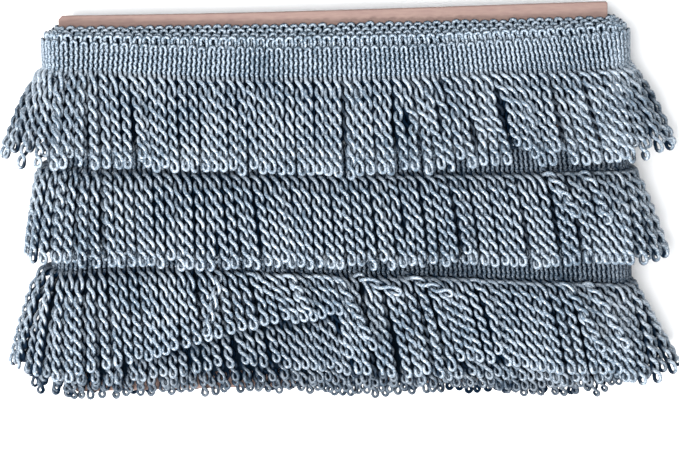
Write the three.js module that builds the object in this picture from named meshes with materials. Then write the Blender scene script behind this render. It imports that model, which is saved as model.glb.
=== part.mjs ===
// Bullion fringe trim wound in three overlapping tiers round a flat card, lying on its back.
// Each tier is a heading, a cord band wound round the card in turns that show as steps at its
// upper edge, and a skirt of twisted cord fringe that hangs from the heading's lower edge, rides
// over the next tier's heading and fans out at both ends of the card.
// Millimetres. X runs across the card, Y towards its head edge, Z up out of the wound face.

import * as THREE from 'three';

const { lerp, clamp, euclideanModulo, seededRandom, smoothstep } = THREE.MathUtils;

// The card
const CARD_WIDTH = 305;
const CARD_HEIGHT = 215;
const CARD_THICKNESS = 3;
const CARD_CORNER = 3.5;
const CORNER_STEPS = 3;

// The heading, the flat band that carries the fringe
const HEADING_HEIGHT = 17;
const HEADING_THICKNESS = 1.7;
const TURN_PITCH = 2;
const TURNS = 5;
const CLEARANCE = 0.3;
// Each turn's place between the tier's inner line (1) and its outer line (0), innermost first
const TURN_PLACES = [1, 0.81, 0.63, 0.4, 0];
// The share of a turn in which the band moves over to the next turn's line, at the card's back
const CROSSING = 0.12;
const STEPS = { back: 3, end: 6, front: 8 };

// The fringe
const FRINGE_DROP = 51;
const ROOT_STRIP = 3;
const ROOT_THICKNESS = 1.6;
const LOCKS = 100;
const TIP_LENGTH = 5;
const TIP_INSET = 2;
const TIP_JITTER = 3;
// A lock has at least this much length from its bend to its tip
const SHORTEST_LOCK = 2;
// Room between the fringe and the heading below it: over its face and past its edge
const FACE_CLEARANCE = 2;
const EDGE_CLEARANCE = 2.5;
const CARD_CLEARANCE = 0.8;
// How much further from the card the inside of the fringe stands at the card's two ends
const END_LIFT = 3;
const END_SPLAY = 8;
const RISE_POWER = 0.7;
// How far down the back the fringe lies level on what the part rests on
const SETTLED_FALL = 17;
// Half widths of a lock as shares of the pitch, at the card's side and at the outer side
const HALF_WIDTHS = {
  root: { inner: 0.45, outer: 0.34 },
  bend: { inner: 0.43, outer: 0.34 },
  end: { inner: 0.39, outer: 0.34 },
  tip: { inner: 0.22, outer: 0.2 },
};

const HALF_CARD = CARD_WIDTH / 2;
const WRAP_RADIUS = CARD_THICKNESS / 2 + CLEARANCE;
const SKIRT_RADIUS = WRAP_RADIUS + TURNS * TURN_PITCH + HEADING_THICKNESS;
const OVER_HEADING = SKIRT_RADIUS + FACE_CLEARANCE;
const FLOOR_DEPTH = 25;
const END_ARC = Math.PI * SKIRT_RADIUS;
const LOOP = 2 * (CARD_WIDTH + END_ARC);
const LOCK_PITCH = LOOP / LOCKS;

// outer and inner: the height of the fringe's root on the outermost and the innermost turn, at the
// card's left and right ends, and how far the line sags between them on the front.
// tips: how far the fringe's ends stand out from the card's middle plane and from its two ends.
// fan: sideways sweep of the fringe's ends in the field, at the left end and at the right end, with
// the distance from each end over which the sweep fades.
// partings: where the fringe opens on the front, from the card's middle, and how wide.
const TIERS = [
  {
    name: 'top',
    outer: { left: 78.4, right: 75.2, sag: 6.2 },
    inner: { left: 84.9, right: 82.8, sag: 0.8 },
    tips: { front: 29, left: 31, right: 37.5 },
    fan: { field: 1.5, left: -17, leftReach: 40, right: 20, rightReach: 135 },
    partings: [
      { x: -149, gap: 3 }, { x: -128, gap: 3 }, { x: 6, gap: 3.5 },
      { x: 43, gap: 4 }, { x: 74, gap: 3 }, { x: 122, gap: 2.5 },
    ],
  },
  {
    name: 'middle',
    outer: { left: 24.3, right: 14.9, sag: 2.4 },
    inner: { left: 27, right: 18, sag: 1 },
    tips: { front: 28, left: 25, right: 33.5 },
    fan: { field: 2.5, left: -12, leftReach: 34, right: 17, rightReach: 110 },
    partings: [
      { x: -112, gap: 2.5 }, { x: -62, gap: 2.5 }, { x: -8, gap: 2.5 },
      { x: 58, gap: 3 }, { x: 96, gap: 3 },
    ],
  },
  {
    name: 'bottom',
    outer: { left: -34.5, right: -49.5, sag: -2 },
    inner: { left: -53, right: -58, sag: 0 },
    tips: { front: 23, left: 30.5, right: 41 },
    fan: { field: 4, left: -15, leftReach: 36, right: 24, rightReach: 210 },
    partings: [
      { x: -92, gap: 3.5 }, { x: -36, gap: 3 }, { x: 29, gap: 3 },
      { x: 72, gap: 3.5 }, { x: 118, gap: 3 },
    ],
  },
];
const PARTING_REACH = 14;
// The sweep is whole from a little past the card's two ends
const FULL_SWEEP = { left: -5, right: -15 };

// A place on the racetrack round the card. s runs from the middle of the back to the right and
// then over the front. angle is the way out from the card: up on the front, down on the back.
function placeAt(s) {
  let rest = euclideanModulo(s, LOOP);
  if (rest < HALF_CARD) return { x: rest, angle: -Math.PI / 2 };
  rest -= HALF_CARD;
  if (rest < END_ARC) return { x: HALF_CARD, angle: rest / SKIRT_RADIUS - Math.PI / 2 };
  rest -= END_ARC;
  if (rest < CARD_WIDTH) return { x: HALF_CARD - rest, angle: Math.PI / 2 };
  rest -= CARD_WIDTH;
  if (rest < END_ARC) return { x: -HALF_CARD, angle: rest / SKIRT_RADIUS + Math.PI / 2 };
  return { x: rest - END_ARC - HALF_CARD, angle: -Math.PI / 2 };
}

// The height of a line round the card. Only the front sags.
function lineHeight(line, place) {
  const share = (place.x + HALF_CARD) / CARD_WIDTH;
  const sag = place.angle > 0 ? 4 * line.sag * share * (1 - share) : 0;
  return lerp(line.left, line.right, share) - sag;
}

// The place of a turn between the inner and the outer line, after so many turns
function turnPlace(turns) {
  const last = TURNS - 1;
  const turn = Math.min(Math.floor(turns), last);
  const part = turns - turn;
  const here = TURN_PLACES[turn];
  const before = TURN_PLACES[Math.max(turn - 1, 0)];
  const after = TURN_PLACES[Math.min(turn + 1, last)];
  const arriving = (1 - smoothstep(part, -CROSSING, CROSSING)) * (before - here);
  const leaving = smoothstep(part, 1 - CROSSING, 1 + CROSSING) * (after - here);
  return here + arriving + leaving;
}

// Collects corners and faces of a closed body, then makes its geometry
class Shell {
  constructor() {
    this.positions = [];
    this.indices = [];
  }

  corner(x, y, z) {
    this.positions.push(x, y, z);
    return this.positions.length / 3 - 1;
  }

  // Corners go round anticlockwise, seen from outside
  face(a, b, c, d) {
    this.indices.push(a, b, c, a, c, d);
  }

  geometry() {
    const made = new THREE.BufferGeometry();
    made.setAttribute('position', new THREE.Float32BufferAttribute(this.positions, 3));
    made.setIndex(this.indices);
    made.computeVertexNormals();
    return made;
  }
}

function cardGeometry() {
  const across = HALF_CARD;
  const up = CARD_HEIGHT / 2;
  const corner = CARD_CORNER;
  const outline = new THREE.Shape();
  outline.moveTo(across, corner - up);
  outline.absarc(across - corner, up - corner, corner, 0, Math.PI / 2);
  outline.lineTo(corner - across, up);
  outline.lineTo(-across, up - corner);
  outline.absarc(corner - across, corner - up, corner, Math.PI, 1.5 * Math.PI);
  outline.absarc(across - corner, corner - up, corner, 1.5 * Math.PI, 2 * Math.PI);
  const made = new THREE.ExtrudeGeometry(outline, {
    depth: CARD_THICKNESS,
    bevelEnabled: false,
    curveSegments: CORNER_STEPS,
  });
  return made.translate(0, 0, -CARD_THICKNESS / 2);
}

// The places along one turn at which the heading band has a section
function turnSteps() {
  const stretches = [
    { length: HALF_CARD, steps: STEPS.back },
    { length: END_ARC, steps: STEPS.end },
    { length: CARD_WIDTH, steps: STEPS.front },
    { length: END_ARC, steps: STEPS.end },
    { length: HALF_CARD, steps: STEPS.back },
  ];
  const places = [];
  let start = 0;
  for (const { length, steps } of stretches) {
    for (let i = 0; i < steps; i += 1) places.push(start + (length * i) / steps);
    start += length;
  }
  return places;
}

// The heading of a tier: one long flat band wound round the card
function headingGeometry(tier) {
  const shell = new Shell();
  const steps = turnSteps();
  const rings = [];
  for (let turn = 0; turn < TURNS; turn += 1) {
    for (const s of steps) rings.push(turn + s / LOOP);
  }
  rings.push(TURNS);
  const sections = rings.map((turns) => {
    const place = placeAt(turns * LOOP);
    const radius = WRAP_RADIUS + turns * TURN_PITCH;
    const bottom = lerp(
      lineHeight(tier.outer, place),
      lineHeight(tier.inner, place),
      turnPlace(turns),
    );
    const at = (r, y) => shell.corner(
      place.x + r * Math.cos(place.angle),
      y,
      r * Math.sin(place.angle),
    );
    return {
      innerLow: at(radius, bottom),
      outerLow: at(radius + HEADING_THICKNESS, bottom),
      outerHigh: at(radius + HEADING_THICKNESS, bottom + HEADING_HEIGHT),
      innerHigh: at(radius, bottom + HEADING_HEIGHT),
    };
  });
  const first = sections[0];
  const last = sections[sections.length - 1];
  shell.face(first.innerLow, first.innerHigh, first.outerHigh, first.outerLow);
  for (let i = 1; i < sections.length; i += 1) {
    const a = sections[i - 1];
    const b = sections[i];
    shell.face(a.outerLow, a.outerHigh, b.outerHigh, b.outerLow);
    shell.face(a.innerHigh, a.innerLow, b.innerLow, b.innerHigh);
    shell.face(a.outerHigh, a.innerHigh, b.innerHigh, b.outerHigh);
    shell.face(a.innerLow, a.outerLow, b.outerLow, b.innerLow);
  }
  shell.face(last.innerLow, last.outerLow, last.outerHigh, last.innerHigh);
  return shell.geometry();
}

// How far the fringe's ends sweep sideways at a place
function sweep(tier, place) {
  const { fan, partings } = tier;
  const front = place.angle > 0;
  const rightReach = front ? fan.rightReach : fan.leftReach;
  const field = front ? fan.field : 0;
  const toLeft = 1 - smoothstep(place.x + HALF_CARD, FULL_SWEEP.left, fan.leftReach);
  const toRight = 1 - smoothstep(HALF_CARD - place.x, FULL_SWEEP.right, rightReach);
  let shift = field + toLeft * (fan.left - field) + toRight * (fan.right - field);
  for (const parting of front ? partings : []) {
    const away = place.x - parting.x;
    shift += (Math.sign(away) * parting.gap * Math.exp(-Math.abs(away) / PARTING_REACH)) / 2;
  }
  return shift * Math.sin(place.angle) ** 2;
}

// How far the skirt's outside stands from the card's middle plane, so far below the root
function outerRadius(tier, place, fall) {
  const share = clamp((fall - ROOT_STRIP) / (FRINGE_DROP - ROOT_STRIP), 0, 1);
  const settled = clamp((fall - ROOT_STRIP) / (SETTLED_FALL - ROOT_STRIP), 0, 1);
  const front = lerp(SKIRT_RADIUS, tier.tips.front, share ** RISE_POWER);
  const back = lerp(SKIRT_RADIUS, FLOOR_DEPTH, settled);
  const end = lerp(SKIRT_RADIUS, place.x > 0 ? tier.tips.right : tier.tips.left, share);
  return lerp(Math.sin(place.angle) > 0 ? front : back, end, Math.cos(place.angle) ** 2);
}

// The levels of one lock. fallIn and fallOut are the distances below the root at its card side
// and at its outer side, inner is the radius at its card side.
function lockLevels(tier, below, place, index) {
  const root = lineHeight(tier.outer, place);
  const jitter = (seededRandom(index + 1) - 0.5) * TIP_JITTER;
  const drop = FRINGE_DROP + jitter;
  const back = place.angle < 0;
  const toEnd = Math.cos(place.angle) ** 2;
  if (below) {
    const edge = Math.max(lineHeight(below.outer, place), lineHeight(below.inner, place));
    const bend = root - edge - HEADING_HEIGHT - EDGE_CLEARANCE;
    const higher = lineHeight(tier.inner, place) - root;
    const over = OVER_HEADING + END_LIFT * toEnd;
    return [
      { fallIn: ROOT_STRIP, fallOut: ROOT_STRIP, inner: WRAP_RADIUS, width: HALF_WIDTHS.root },
      {
        fallIn: bend,
        fallOut: back ? SETTLED_FALL : bend,
        inner: over,
        width: HALF_WIDTHS.bend,
      },
      {
        fallIn: Math.max(bend + SHORTEST_LOCK, drop - TIP_LENGTH - higher),
        fallOut: drop - TIP_LENGTH,
        inner: over,
        width: HALF_WIDTHS.end,
      },
      {
        fallIn: Math.max(bend + 2 * SHORTEST_LOCK, drop - higher),
        fallOut: drop,
        inner: over + TIP_INSET,
        width: HALF_WIDTHS.tip,
      },
    ];
  }
  const lower = root - lineHeight(tier.inner, place);
  const bend = lower + EDGE_CLEARANCE;
  const outerTurn = SKIRT_RADIUS - ROOT_THICKNESS;
  const onCard = CARD_THICKNESS / 2 + CARD_CLEARANCE + END_SPLAY * toEnd;
  return [
    { fallIn: ROOT_STRIP, fallOut: ROOT_STRIP, inner: outerTurn, width: HALF_WIDTHS.root },
    {
      fallIn: bend,
      fallOut: back ? SETTLED_FALL : bend,
      inner: outerTurn,
      width: HALF_WIDTHS.bend,
    },
    {
      fallIn: drop - TIP_LENGTH + lower,
      fallOut: drop - TIP_LENGTH,
      inner: onCard,
      width: HALF_WIDTHS.end,
    },
    { fallIn: drop + lower, fallOut: drop, inner: onCard + TIP_INSET, width: HALF_WIDTHS.tip },
  ];
}

// The fringe of a tier: locks that stand apart, fused at their roots into a narrow strip that
// runs round the card just below the heading
function fringeGeometry(tier, below) {
  const shell = new Shell();
  const at = (s, radius, fall) => {
    const place = placeAt(s);
    const shift = (sweep(tier, place) * Math.max(fall - ROOT_STRIP, 0)) / FRINGE_DROP;
    return shell.corner(
      place.x + radius * Math.cos(place.angle) + shift,
      lineHeight(tier.outer, place) - CLEARANCE - fall,
      Math.max(radius * Math.sin(place.angle), -FLOOR_DEPTH),
    );
  };
  const locks = [];
  for (let i = 0; i < LOCKS; i += 1) {
    const middle = (i + 0.5) * LOCK_PITCH;
    const place = placeAt(middle);
    const levels = lockLevels(tier, below, place, i);
    const level = ({ fallIn, fallOut, inner, width }) => {
      const inset = width === HALF_WIDTHS.tip ? TIP_INSET : 0;
      const outside = outerRadius(tier, place, fallOut) - inset;
      const wideIn = width.inner * LOCK_PITCH;
      const wideOut = width.outer * LOCK_PITCH;
      return {
        inStart: at(middle - wideIn, inner, fallIn),
        outStart: at(middle - wideOut, outside, fallOut),
        outEnd: at(middle + wideOut, outside, fallOut),
        inEnd: at(middle + wideIn, inner, fallIn),
      };
    };
    const strip = { ...levels[0], fallIn: 0, fallOut: 0 };
    locks.push([strip, ...levels].map(level));
  }
  locks.forEach((lock, i) => {
    const [high, low] = lock;
    const [nextHigh, nextLow] = locks[(i + 1) % LOCKS];
    // The strip above the lock, then the strip up to the next lock
    shell.face(high.outStart, high.inStart, high.inEnd, high.outEnd);
    shell.face(high.outStart, high.outEnd, low.outEnd, low.outStart);
    shell.face(high.inEnd, high.inStart, low.inStart, low.inEnd);
    shell.face(high.outEnd, high.inEnd, nextHigh.inStart, nextHigh.outStart);
    shell.face(high.outEnd, nextHigh.outStart, nextLow.outStart, low.outEnd);
    shell.face(nextHigh.inStart, high.inEnd, low.inEnd, nextLow.inStart);
    shell.face(low.outEnd, nextLow.outStart, nextLow.inStart, low.inEnd);
    for (let j = 2; j < lock.length; j += 1) {
      const a = lock[j - 1];
      const b = lock[j];
      shell.face(a.outStart, a.outEnd, b.outEnd, b.outStart);
      shell.face(a.inEnd, a.inStart, b.inStart, b.inEnd);
      shell.face(a.inStart, a.outStart, b.outStart, b.inStart);
      shell.face(a.outEnd, a.inEnd, b.inEnd, b.outEnd);
    }
    const tip = lock[lock.length - 1];
    shell.face(tip.outStart, tip.outEnd, tip.inEnd, tip.inStart);
  });
  return shell.geometry();
}

function named(name, geometry, material) {
  const mesh = new THREE.Mesh(geometry, material);
  mesh.name = name;
  return mesh;
}

const board = new THREE.MeshStandardMaterial({ color: 0xc5a59c, roughness: 0.92, metalness: 0 });
const band = new THREE.MeshStandardMaterial({ color: 0x8f9fb0, roughness: 0.5, metalness: 0 });
const cords = new THREE.MeshStandardMaterial({ color: 0x8595a6, roughness: 0.42, metalness: 0 });

const trim = new THREE.Group();
trim.add(named('card', cardGeometry(), board));
TIERS.forEach((tier, i) => {
  trim.add(named(`heading_${tier.name}`, headingGeometry(tier), band));
  trim.add(named(`fringe_${tier.name}`, fringeGeometry(tier, TIERS[i + 1]), cords));
});

// The origin is under the middle of the whole, on the surface that it lies on
const extent = new THREE.Box3().setFromObject(trim);
const middle = extent.getCenter(new THREE.Vector3());
trim.position.set(-middle.x, -middle.y, -extent.min.z);
trim.updateMatrixWorld(true);

export default trim;
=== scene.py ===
"""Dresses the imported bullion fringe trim, wound in three tiers on its card.

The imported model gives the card, the headings and the fringe their places. This script makes the
cords: each heading is one cord looped up and down under rows of binding, and each bullion is two
plies twisted round each other and closed by a small loop. Sizes are in millimetres, measured from
the middle of the card, unless a name says otherwise; meshes are made in metres.
"""
import logging
import math
from dataclasses import dataclass, field
from enum import Enum

import bmesh
import bpy
import numpy as np
from mathutils import Matrix, Vector

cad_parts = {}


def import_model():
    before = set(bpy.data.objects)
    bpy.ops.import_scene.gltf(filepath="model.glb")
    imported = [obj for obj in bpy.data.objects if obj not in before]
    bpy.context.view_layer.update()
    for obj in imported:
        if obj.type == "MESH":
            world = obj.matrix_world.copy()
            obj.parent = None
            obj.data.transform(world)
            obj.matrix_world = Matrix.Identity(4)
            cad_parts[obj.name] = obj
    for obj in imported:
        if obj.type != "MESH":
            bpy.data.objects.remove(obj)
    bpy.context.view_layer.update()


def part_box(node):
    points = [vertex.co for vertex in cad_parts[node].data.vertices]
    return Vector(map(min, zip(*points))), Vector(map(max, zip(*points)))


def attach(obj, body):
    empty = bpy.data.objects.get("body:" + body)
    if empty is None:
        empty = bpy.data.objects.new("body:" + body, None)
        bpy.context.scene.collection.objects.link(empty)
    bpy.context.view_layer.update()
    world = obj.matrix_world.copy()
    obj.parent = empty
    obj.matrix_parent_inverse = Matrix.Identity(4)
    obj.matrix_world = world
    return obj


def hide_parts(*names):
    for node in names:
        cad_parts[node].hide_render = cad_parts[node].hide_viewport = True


LOG = logging.getLogger("bullion_trim")
MM = 0.001
# The angle out from the card from which a cord belongs to the front.
FRONT_FROM = -0.35
# How far inside the card's two ends the winding turns.
CARD_INSET = 1.0
# The sockets of a Mix node that take and give colours.
MIX_INPUTS, MIX_OUTPUT = (6, 7), 2

Array = np.ndarray
Pair = tuple[float, float]
Colour = tuple[float, float, float]
Laid = dict[str, Array]
Socket = bpy.types.NodeSocket
Material = bpy.types.Material
Piece = bpy.types.Object


class Place(Enum):
    """The side of the wound card that a piece lies on."""

    FRONT = "front"
    BACK = "back"


class Slot(Enum):
    """The record's material slots."""

    CARD = "card"
    HEADING = "heading"
    FRINGE = "fringe"


@dataclass(frozen=True)
class Line:
    """A line round the card: its height at the card's two ends and its sag on the front."""

    left: float
    right: float
    sag: float = 0.0

    def height(self, x: Array, angle: Array, half: float) -> Array:
        """Gives its heights at distances along a card of a half width, and ways out from it."""
        share = (x + half) / (2 * half)
        return self.left + (self.right - self.left) * share - (angle > 0) * 4 * self.sag * share * (1 - share)


@dataclass(frozen=True)
class Course:
    """A value that changes along the card, given at distances from the card's middle."""

    rows: tuple[Pair, ...]

    def at(self, x: Array) -> Array:
        """Gives the value at places along the card."""
        places, values = zip(*self.rows)
        return np.interp(x, places, values)


@dataclass(frozen=True)
class Parting:
    """A place on the front where the fringe opens."""

    x: float
    gap: float


@dataclass(frozen=True)
class Stray:
    """A cord that has slipped out of line, or one more that lies over the others."""

    x: float
    shift: float
    lift: float
    drop: float = 0.0
    over: bool = False


@dataclass(frozen=True)
class Hole:
    """A short opening between two cords: its place, the share of their length, its size."""

    x: float
    share: float
    span: float
    gap: float


@dataclass(frozen=True)
class Fan:
    """How far the fringe's ends at the back sweep sideways at the card's two ends."""

    left: float
    right: float
    reach: float = 44.0


@dataclass(frozen=True)
class Detail:
    """How finely a layer's cords are made, how light the painted shade leaves their tips, and their rings'
    length and swell.
    """

    sides: int
    steps: int
    loop_steps: int
    front_from: float = 0.0
    back_from: float = 0.0
    tip_painted_shade: float = 1.0
    ring: Pair = (1.8, -0.1)


DETAILS = (
    Detail(6, 7, 8, ring=(3.1, 0.7)),
    Detail(4, 4, 8, 0.0, 0.7, 0.95, (3.1, 0.6)),
    Detail(4, 3, 6, 0.3, 0.8, 0.8),
    Detail(4, 3, 6, 0.6, 0.88, 0.7),
    Detail(4, 3, 6, 0.6, 0.88, 0.6),
)
BOTTOM_DETAILS = (
    Detail(6, 7, 8, ring=(3.1, 0.7)),
    Detail(5, 5, 8, 0.12, 0.7, 0.8, (2.8, 0.4)),
    Detail(4, 4, 8, 0.6, 0.8, 0.5, (2.6, 0.2)),
    Detail(4, 3, 6, 0.7, 0.88, 0.38),
    Detail(4, 3, 6, 0.7, 0.88, 0.3),
)
BACK_DETAIL = Detail(4, 3, 6, ring=(3.1, 0.7))


@dataclass(frozen=True)
class Tips:
    """How far the fringe's ends stand out from the card's middle plane and its two ends.

    The swells tell how soon a cord gets there: below 1 it bellies out near its root.
    """

    front: float
    left: float
    right: float
    left_swell: float
    right_swell: float


@dataclass(frozen=True)
class TierShape:
    """The shape in which one tier lies on the card."""

    name: str
    outer: Line
    inner: Line
    tips: Tips
    fan: Fan
    leans: Course
    lean_power: float
    partings: tuple[Parting, ...]
    holes: tuple[Hole, ...]
    strays: tuple[Stray, ...]
    slants: Course
    hems: Course
    dips: Course
    under: Course = Course(((0.0, 0.0), (1.0, 0.0)))
    steps: Course = Course(((0.0, 0.0), (1.0, 0.0)))
    # Painted shade: the shares of their length over which the deeper layers lighten from their painted shade.
    shown: Pair = (0.88, 1.0)
    details: tuple[Detail, ...] = DETAILS
    slide: float = 1.6
    # Painted shadow: how light a lower tier's heading and cord roots are painted, for the shade of the tier
    # above.
    painted_heading_shade: float = 1.0
    painted_root_shade: float = 1.0
    # How many levels down the near-black sheet of painted shadow behind the cords reaches.
    lined: int = 12
    places: tuple[float, ...] = (0.0, 0.5, 0.64, 0.83, 1.0)
    # Painted shade: the levels between which the plies' flanks of this tier lighten.
    painted_flank_shade: Pair = (-0.1, 0.42)
    seed: int = 1

    def slant(self, x: Array, angle: Array) -> Array:
        """Gives how far the heading's cords lean to the right, which fades out round the ends."""
        return self.slants.at(x) * np.clip(np.sin(angle), 0, 1) ** 2

    def dip(self, x: Array, angle: Array) -> Array:
        """Gives how far the outermost heading's lower edge hangs down, which fades out behind."""
        return self.dips.at(x) * np.clip(np.sin(angle) + 0.7, 0, 1)


TIERS = (
    TierShape(
        name="top",
        outer=Line(78.4, 75.2, 6.2),
        inner=Line(84.9, 82.8, 0.8),
        tips=Tips(29.0, 39.0, 37.5, 0.95, 1.0),
        fan=Fan(-22.0, 20.0),
        leans=Course((
            (-151, -14.0), (-146, -8.0), (-138, -2.5), (-126, 0.5), (0, 2.0), (50, 4.5), (70, 8.0),
            (86, 11.0), (98, 9.0), (112, 8.0), (126, 11.0), (140, 16.0), (151, 20.0),
        )),
        lean_power=0.8,
        partings=(
            Parting(-149, 1), Parting(-128, 1), Parting(6, 1.5),
            Parting(43, 2), Parting(74, 1.5), Parting(122, 1.0),
        ),
        holes=(
            Hole(-58, 0.32, 0.08, 2.5), Hole(-21, 0.55, 0.08, 3.5), Hole(37, 0.52, 0.1, 7.0),
            Hole(52, 0.5, 0.2, 5.5), Hole(70, 0.7, 0.15, 5.0), Hole(83, 0.52, 0.2, 7.0),
        ),
        strays=(
            Stray(-112, 1, 1.0, -4), Stray(84, 0, 1.0, -8), Stray(91, 1, 1.0, -6), Stray(97, 0, 0.5, -3),
            Stray(112, -2, 2.0, -7), Stray(61, 1, 1.0, -4),
        ),
        slants=Course((
            (-150, -0.8), (-120, -2.3), (-60, -1.4), (0, 0.0), (60, 1.4), (100, 2.6), (125, 5.0), (150, 3.0),
        )),
        hems=Course((
            (-151, 4.0), (-135, 2.0), (-120, 2.5), (-112, 0.0), (-105, 2.5), (0, 2.5), (60, 3.0), (150, 1.5),
        )),
        dips=Course(((-150, 0.0), (-130, -1.2), (-80, 0.0), (90, 0.0), (125, 2.2), (150, 3.4))),
        painted_flank_shade=(-0.2, 0.25),
        seed=11,
    ),
    TierShape(
        name="middle",
        outer=Line(24.3, 14.9, 2.4),
        inner=Line(27.0, 18.0, 1.0),
        tips=Tips(28.0, 28.5, 34.0, 0.42, 0.8),
        fan=Fan(-17.5, 16.0),
        leans=Course((
            (-151, -12.0), (-143, -6.0), (-130, 0.0), (-112, 3.5), (0, 5.0), (60, 7.5), (110, 11.0),
            (135, 14.0), (151, 17.0),
        )),
        lean_power=0.55,
        partings=(
            Parting(-112, 0.5), Parting(-62, 0.5), Parting(-8, 0.5),
            Parting(58, 1.0), Parting(96, 1.5),
        ),
        holes=(Hole(-30, 0.3, 0.1, 2.0), Hole(30, 0.6, 0.1, 2.5), Hole(104, 0.35, 0.1, 3.0)),
        strays=(
            Stray(-98, 1, 1.5, -3), Stray(-40, 1, 1.0, -3), Stray(18, 1, 1.0, -3),
            Stray(62, 1, 1.0, -4), Stray(112, 9, 3.5, -20, True), Stray(132, 4, 3.5, -17, True),
        ),
        slants=Course(((-150, -1.0), (0, 0.0), (150, 2.0))),
        hems=Course(((-150, 3.0), (0, 4.0), (100, 3.5), (135, 3.0), (151, 6.0))),
        dips=Course(((-150, 0.0), (150, 0.0))),
        under=Course(((-150, 3.0), (150, 3.0))),
        slide=1.8,
        painted_heading_shade=0.4,
        painted_root_shade=0.25,
        seed=23,
    ),
    TierShape(
        name="bottom",
        outer=Line(-34.5, -49.5, -2.0),
        inner=Line(-53.0, -58.0),
        tips=Tips(23.0, 40.0, 40.5, 0.52, 1.0),
        fan=Fan(-23.0, 22.0),
        leans=Course((
            (-151, -9.0), (-143, -5.0), (-130, 0.0), (-112, 3.0), (-88, 4.0), (-70, 9.0), (-50, 13.0),
            (-26, 14.0), (-6, 8.0), (4, 5.0), (16, 7.0), (34, 13.0), (50, 18.0), (62, 19.0),
            (76, 15.0), (100, 14.0), (125, 16.0), (140, 19.0), (151, 23.0),
        )),
        lean_power=0.65,
        partings=(Parting(-92, 0.5), Parting(8, 0.5), Parting(73, 2.0), Parting(118, 1.0)),
        holes=(Hole(-84, 0.4, 0.1, 2.0), Hole(28, 0.45, 0.1, 2.0), Hole(110, 0.4, 0.1, 2.0)),
        strays=(
            Stray(-70, -14, 3.5, 3, True), Stray(-34, 5, 3.0, 0, True), Stray(-6, 14, 4.0, 4, True),
            Stray(6, 20, 4.0, -31, True), Stray(34, 16, 3.5, -32, True), Stray(71, 1, 1.5, -4),
            Stray(120, 9, 3.0, -6, True), Stray(133, 8, 3.0, -8, True),
        ),
        slants=Course(((-150, 0.0), (0, 0.5), (150, 1.0))),
        hems=Course((
            (-151, 11.0), (-138, 4.0), (-125, 2.0), (-105, -3.0), (-85, -8.0), (-70, -14.0),
            (-50, -19.0), (-28, -21.0), (-10, -26.0), (-4, 6.0), (10, 7.0), (38, 8.5), (50, 2.0),
            (72, 3.0), (80, 3.0), (110, 4.0), (140, 4.0), (151, 8.0),
        )),
        dips=Course(((-150, 0.0), (-120, -2.0), (-75, -2.0), (-40, 0.0), (150, 0.0))),
        under=Course(((-150, 5.0), (-60, 5.5), (0, 6.0), (80, 7.0), (125, 7.5), (150, 2.0))),
        steps=Course(((-130, 0.0), (-95, 4.0), (-75, 6.5), (-25, 6.0), (0, 1.0), (40, 0.0))),
        shown=(0.86, 0.94),
        details=BOTTOM_DETAILS,
        slide=1.7,
        painted_heading_shade=0.4,
        painted_root_shade=0.25,
        lined=14,
        seed=37,
    ),
)


@dataclass(frozen=True)
class Winding:
    """The trim's sizes and its way round the card."""

    half_card: float
    wrap_radius: float = 1.8
    turn_pitch: float = 2.0
    turns: int = 5
    heading_height: float = 17.5
    heading_thickness: float = 1.7
    cord_pitch: float = 5.4
    leg_gap: float = 2.7
    drop: float = 51.0
    floor_depth: float = 25.0
    settled_fall: float = 17.0
    rise_power: float = 0.85
    inner_rise_power: float = 1.3
    inner_sink: float = 1.2

    @property
    def skirt_radius(self) -> float:
        """The outer radius of the whole heading."""
        return self.wrap_radius + self.turns * self.turn_pitch + self.heading_thickness

    @property
    def end_arc(self) -> float:
        """The length of the way round one end of the card."""
        return math.pi * self.skirt_radius

    @property
    def loop(self) -> float:
        """The length of one turn."""
        return 4 * self.half_card + 2 * self.end_arc

    def places(self, s: Array) -> tuple[Array, Array]:
        """Finds places on the way round the card.

        Args:
            s: distances from the middle of the back, to the right and then over the front.

        Returns:
            The x of the card's nearest point, and the way out from the card as an angle.
        """
        s = np.mod(s, self.loop)
        half = self.half_card
        right = half + self.end_arc
        front = right + 2 * half
        left = front + self.end_arc
        quarter = math.pi / 2
        where = [s < half, s < right, s < front, s < left]
        x = np.select(where, [s, half + 0 * s, half + right - s, -half + 0 * s], s - left - half)
        turned = [(s - half) / self.skirt_radius - quarter, (s - front) / self.skirt_radius + quarter]
        angle = np.select(where, [-quarter + 0 * s, turned[0], quarter + 0 * s, turned[1]], -quarter)
        return x, angle

    def heading_radius(self, layer: int, s: Array) -> Array:
        """Gives how far a turn's cords lie from the card's middle plane, at distances round it."""
        turn = self.turns - 1 - layer + s / self.loop
        return self.wrap_radius + turn * self.turn_pitch + self.heading_thickness / 2


def smooth(value: Array, low: float, high: float) -> Array:
    """Eases a value from 0 at low to 1 at high."""
    part = np.clip((value - low) / (high - low), 0.0, 1.0)
    return part * part * (3 - 2 * part)


def drift(rng: np.random.Generator, count: int, reach: float) -> Array:
    """Makes a random course that changes slowly from one cord to the next.

    Args:
        rng: the source of random numbers.
        count: how many cords.
        reach: over how many cords the course stays alike.

    Returns:
        Values of about unit spread, one for each cord.
    """
    raw = rng.normal(size=count)
    away = np.arange(-int(3 * reach), int(3 * reach) + 1)
    weight = np.exp(-0.5 * (away / reach) ** 2)
    course = np.convolve(np.concatenate([raw, raw, raw]), weight, "same")[count:2 * count]
    return course / np.sqrt((weight**2).sum())


def looped(leg: Array, loop: Array, back: Array) -> Array:
    """Joins what a cord has down one leg, round its loop and up the other leg."""
    return np.concatenate([leg, loop, back[::-1]])


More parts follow.
